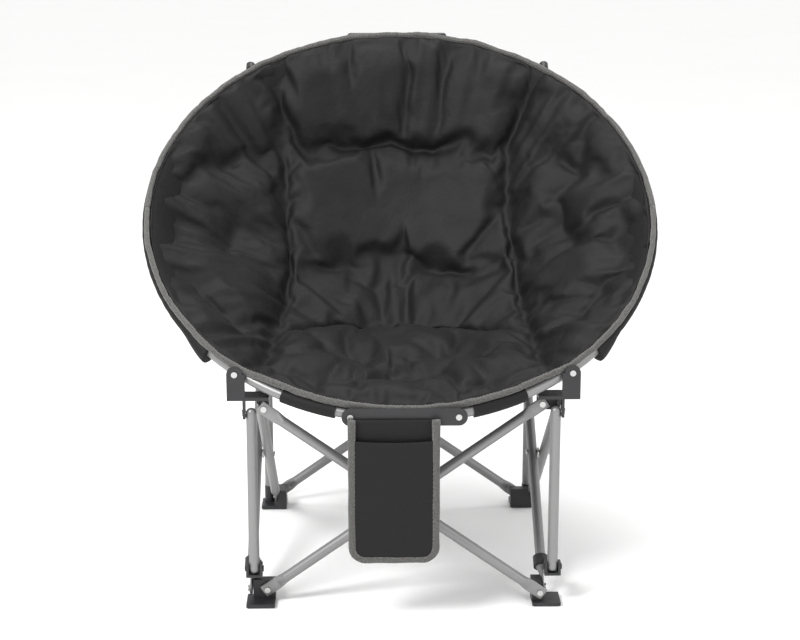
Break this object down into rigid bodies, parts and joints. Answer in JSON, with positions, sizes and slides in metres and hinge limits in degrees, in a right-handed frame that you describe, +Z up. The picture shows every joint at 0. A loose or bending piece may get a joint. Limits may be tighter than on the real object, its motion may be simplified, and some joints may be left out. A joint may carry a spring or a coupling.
{
  "type": "folding camping chair",
  "caption": "Folding padded bucket chair on crossed tube frames, with a tilted round rim, front legs, rear posts and a hanging front pocket.",
  "frame": {"origin": "on the floor under the middle of the whole chair", "axes": "+Z up, +Y from the front feet towards the back rest, +X to the right as seen from the front"},
  "size_m": [0.826, 0.6846, 0.8233],
  "materials": {
    "coated_tube": "satin grey powder coat",
    "black_plastic": "moulded",
    "rivet_steel": "plated",
    "padded_cover": "woven polyester",
    "grey_binding": "heathered tape",
    "black_fabric": "woven polyester"
  },
  "bodies": {
    "front_left_foot": {"front_left_foot": "black_plastic", "front_left_foot_rivets": "rivet_steel"},
    "front_right_foot": {"front_right_foot": "black_plastic", "front_right_foot_rivets": "rivet_steel"},
    "rear_left_foot": {"rear_left_foot": "black_plastic", "rear_left_foot_rivets": "rivet_steel", "rear_left_post": "coated_tube", "rear_left_pivot": "black_plastic"},
    "rear_right_foot": {"rear_right_foot": "black_plastic", "rear_right_foot_rivets": "rivet_steel", "rear_right_post": "coated_tube", "rear_right_pivot": "black_plastic"},
    "front_inner": {"front_brace_inner": "coated_tube", "front_cross_rivet": "rivet_steel"},
    "front_outer": {"front_brace_outer": "coated_tube"},
    "rear_outer": {"rear_brace_outer": "coated_tube", "rear_cross_rivet": "rivet_steel"},
    "rear_inner": {"rear_brace_inner": "coated_tube"},
    "left_outer": {"left_brace_outer": "coated_tube", "left_cross_rivet": "rivet_steel", "left_collar": "black_plastic"},
    "left_inner": {"left_brace_inner": "coated_tube"},
    "right_inner": {"right_brace_inner": "coated_tube", "right_cross_rivet": "rivet_steel", "right_collar": "black_plastic"},
    "right_outer": {"right_brace_outer": "coated_tube"},
    "left_bracket": {"left_bracket": "black_plastic", "left_bracket_rivets": "rivet_steel"},
    "right_bracket": {"right_bracket": "black_plastic", "right_bracket_rivets": "rivet_steel"},
    "left_leg": {"left_leg": "coated_tube"},
    "right_leg": {"right_leg": "coated_tube"},
    "rear_left_slider": {"rear_left_slider": "black_plastic", "rear_left_slider_rivets": "rivet_steel"},
    "rear_right_slider": {"rear_right_slider": "black_plastic", "rear_right_slider_rivets": "rivet_steel"},
    "front_left_arc": {"front_left_arc": "coated_tube", "front_left_panel": "padded_cover", "front_left_binding": "grey_binding", "front_left_sleeve": "black_fabric"},
    "front_right_arc": {"front_right_arc": "coated_tube", "front_right_panel": "padded_cover", "front_right_binding": "grey_binding", "front_right_sleeve": "black_fabric"},
    "back_left_arc": {"back_left_arc": "coated_tube", "back_left_panel": "padded_cover", "back_left_binding": "grey_binding"},
    "back_right_arc": {"back_right_arc": "coated_tube", "back_right_panel": "padded_cover", "back_right_binding": "grey_binding"},
    "front_connector": {"front_connector": "black_plastic", "front_connector_rivets": "rivet_steel", "pocket_back": "black_fabric", "pocket_tape": "grey_binding", "pocket_front": "black_fabric"},
    "back_connector": {"back_connector": "black_plastic", "back_connector_rivets": "rivet_steel"}
  },
  "joints": [
    {"name": "fold", "type": "hinge", "parent": "front_left_foot", "child": "front_inner", "pos_m": [-0.2105, -0.24913, 0.022], "axis": [0, -1, 0], "range_deg": [0, 45], "deforming": ["front_left_panel", "front_right_panel", "back_left_panel", "back_right_panel", "front_left_binding", "front_right_binding", "back_left_binding", "back_right_binding"]},
    {"name": "front_cross", "type": "hinge", "parent": "front_inner", "child": "front_outer", "pos_m": [0, -0.25863, 0.171], "axis": [0, 1, 0], "range_deg": [0, 90]},
    {"name": "front_right_foot_turn", "type": "hinge", "parent": "front_outer", "child": "front_right_foot", "pos_m": [0.2105, -0.26813, 0.022], "axis": [0, -1, 0], "range_deg": [0, 45]},
    {"name": "left_bracket_turn", "type": "hinge", "parent": "front_outer", "child": "left_bracket", "pos_m": [-0.2105, -0.26813, 0.32], "axis": [0, -1, 0], "range_deg": [0, 45]},
    {"name": "right_bracket_turn", "type": "hinge", "parent": "front_inner", "child": "right_bracket", "pos_m": [0.2105, -0.24913, 0.32], "axis": [0, 1, 0], "range_deg": [0, 45]},
    {"name": "left_outer_turn", "type": "hinge", "parent": "front_left_foot", "child": "left_outer", "pos_m": [-0.236, -0.24263, 0.022], "axis": [1, 0, 0], "range_deg": [0, 45]},
    {"name": "left_cross", "type": "hinge", "parent": "left_outer", "child": "left_inner", "pos_m": [-0.2265, -0.03213, 0.171], "axis": [-1, 0, 0], "range_deg": [0, 90]},
    {"name": "rear_left_foot_turn", "type": "hinge", "parent": "left_inner", "child": "rear_left_foot", "pos_m": [-0.217, 0.17837, 0.022], "axis": [1, 0, 0], "range_deg": [0, 45]},
    {"name": "rear_left_slider_turn", "type": "hinge", "parent": "left_outer", "child": "rear_left_slider", "pos_m": [-0.236, 0.17837, 0.32], "axis": [-1, 0, 0], "range_deg": [0, 45]},
    {"name": "right_inner_turn", "type": "hinge", "parent": "front_right_foot", "child": "right_inner", "pos_m": [0.217, -0.24263, 0.022], "axis": [1, 0, 0], "range_deg": [0, 45]},
    {"name": "right_cross", "type": "hinge", "parent": "right_inner", "child": "right_outer", "pos_m": [0.2265, -0.03213, 0.171], "axis": [-1, 0, 0], "range_deg": [0, 90]},
    {"name": "rear_right_foot_turn", "type": "hinge", "parent": "right_outer", "child": "rear_right_foot", "pos_m": [0.236, 0.17837, 0.022], "axis": [1, 0, 0], "range_deg": [0, 45]},
    {"name": "rear_right_slider_turn", "type": "hinge", "parent": "right_inner", "child": "rear_right_slider", "pos_m": [0.217, 0.17837, 0.32], "axis": [-1, 0, 0], "range_deg": [0, 45]},
    {"name": "rear_outer_turn", "type": "hinge", "parent": "rear_left_foot", "child": "rear_outer", "pos_m": [-0.2105, 0.20387, 0.022], "axis": [0, -1, 0], "range_deg": [0, 45]},
    {"name": "rear_cross", "type": "hinge", "parent": "rear_outer", "child": "rear_inner", "pos_m": [0, 0.19437, 0.171], "axis": [0, 1, 0], "range_deg": [0, 90]},
    {"name": "left_leg_swing", "type": "hinge", "parent": "left_bracket", "child": "left_leg", "pos_m": [-0.2295, -0.26163, 0.312], "axis": [-1, 0, 0], "range_deg": [0, 3]},
    {"name": "front_left_arc_turn", "type": "hinge", "parent": "left_bracket", "child": "front_left_arc", "pos_m": [-0.2535, -0.24488, 0.3736], "axis": [0, -1, 0], "range_deg": [0, 104]},
    {"name": "back_left_arc_turn", "type": "hinge", "parent": "rear_left_foot", "child": "back_left_arc", "pos_m": [-0.2535, 0.25763, 0.7564], "axis": [0, -0.7955, -0.606], "range_deg": [0, 88]},
    {"name": "right_leg_swing", "type": "hinge", "parent": "right_bracket", "child": "right_leg", "pos_m": [0.2295, -0.26163, 0.312], "axis": [-1, 0, 0], "range_deg": [0, 3]},
    {"name": "front_right_arc_turn", "type": "hinge", "parent": "right_bracket", "child": "front_right_arc", "pos_m": [0.2535, -0.24488, 0.3736], "axis": [0, 1, 0], "range_deg": [0, 104]},
    {"name": "back_right_arc_turn", "type": "hinge", "parent": "rear_right_foot", "child": "back_right_arc", "pos_m": [0.2535, 0.25763, 0.7564], "axis": [0, 0.7955, 0.606], "range_deg": [0, 88]},
    {"name": "front_connector_turn", "type": "hinge", "parent": "front_left_arc", "child": "front_connector", "pos_m": [-0.08, -0.30945, 0.32441], "axis": [0, 1, 0], "range_deg": [0, 104]},
    {"name": "back_connector_turn", "type": "hinge", "parent": "back_left_arc", "child": "back_connector", "pos_m": [-0.08, 0.32219, 0.80559], "axis": [0, 0.7955, 0.606], "range_deg": [0, 88]}
  ],
  "couplings": [
    {"joint": "front_cross", "follows": "fold", "ratio": 2},
    {"joint": "front_right_foot_turn", "follows": "fold", "ratio": 1},
    {"joint": "left_bracket_turn", "follows": "fold", "ratio": 1},
    {"joint": "right_bracket_turn", "follows": "fold", "ratio": 1},
    {"joint": "left_outer_turn", "follows": "fold", "ratio": 1},
    {"joint": "left_cross", "follows": "fold", "ratio": 2},
    {"joint": "rear_left_foot_turn", "follows": "fold", "ratio": 1},
    {"joint": "rear_left_slider_turn", "follows": "fold", "ratio": 1},
    {"joint": "right_inner_turn", "follows": "fold", "ratio": 1},
    {"joint": "right_cross", "follows": "fold", "ratio": 2},
    {"joint": "rear_right_foot_turn", "follows": "fold", "ratio": 1},
    {"joint": "rear_right_slider_turn", "follows": "fold", "ratio": 1},
    {"joint": "rear_outer_turn", "follows": "fold", "ratio": 1},
    {"joint": "rear_cross", "follows": "fold", "ratio": 2},
    {"joint": "left_leg_swing", "follows": "fold", "ratio": 0.066667},
    {"joint": "front_left_arc_turn", "follows": "fold", "ratio": 2.3111},
    {"joint": "back_left_arc_turn", "follows": "fold", "ratio": 1.9556},
    {"joint": "right_leg_swing", "follows": "fold", "ratio": 0.066667},
    {"joint": "front_right_arc_turn", "follows": "fold", "ratio": 2.3111},
    {"joint": "back_right_arc_turn", "follows": "fold", "ratio": 1.9556},
    {"joint": "front_connector_turn", "follows": "fold", "ratio": 2.3111},
    {"joint": "back_connector_turn", "follows": "fold", "ratio": 1.9556}
  ]
}
